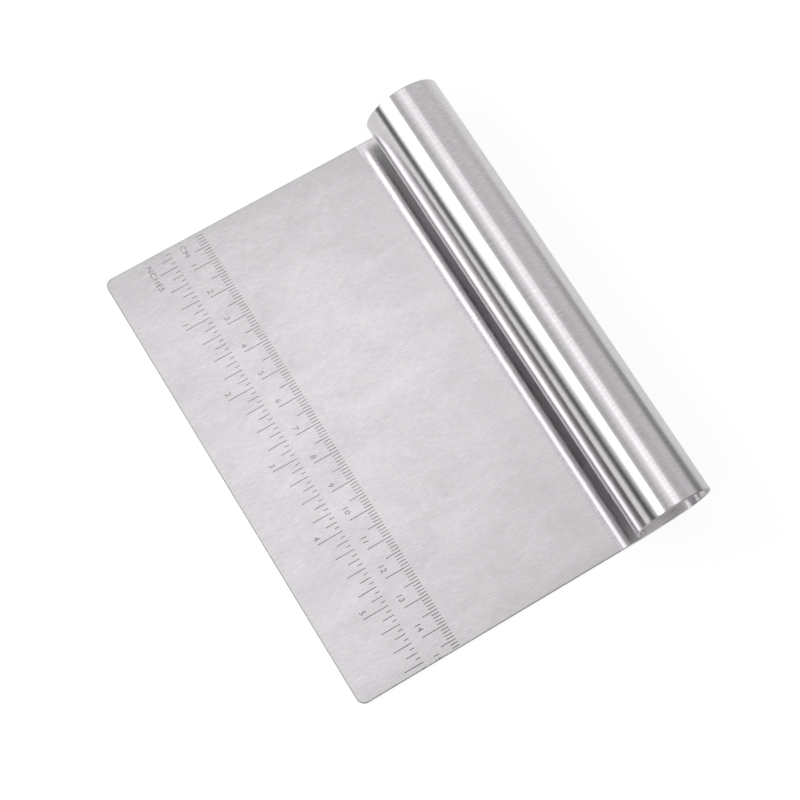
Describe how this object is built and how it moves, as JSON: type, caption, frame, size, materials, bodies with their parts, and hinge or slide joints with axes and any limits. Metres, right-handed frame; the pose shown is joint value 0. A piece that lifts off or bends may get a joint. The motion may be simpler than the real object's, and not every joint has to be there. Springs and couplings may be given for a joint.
{
  "type": "dough scraper",
  "caption": "Flat stainless steel dough scraper with its upper end rolled into an open hollow handle and an etched ruler on the blade.",
  "frame": {"origin": "middle of the footprint, on the plane that the back of the blade rests on", "axes": "+X along the handle, +Y from the scraping edge to the handle, +Z out of the face that carries the ruler"},
  "size_m": [0.1482, 0.116, 0.0253],
  "materials": {
    "blade_steel": "fine brushed lines that run from the scraping edge to the handle",
    "handle_steel": "brighter brushed steel, with the lines running round the roll",
    "etched_marks": "dull grey etched ruler lines and numerals"
  },
  "bodies": {
    "root": {"blade": "blade_steel", "handle": "handle_steel"}
  },
  "joints": []
}
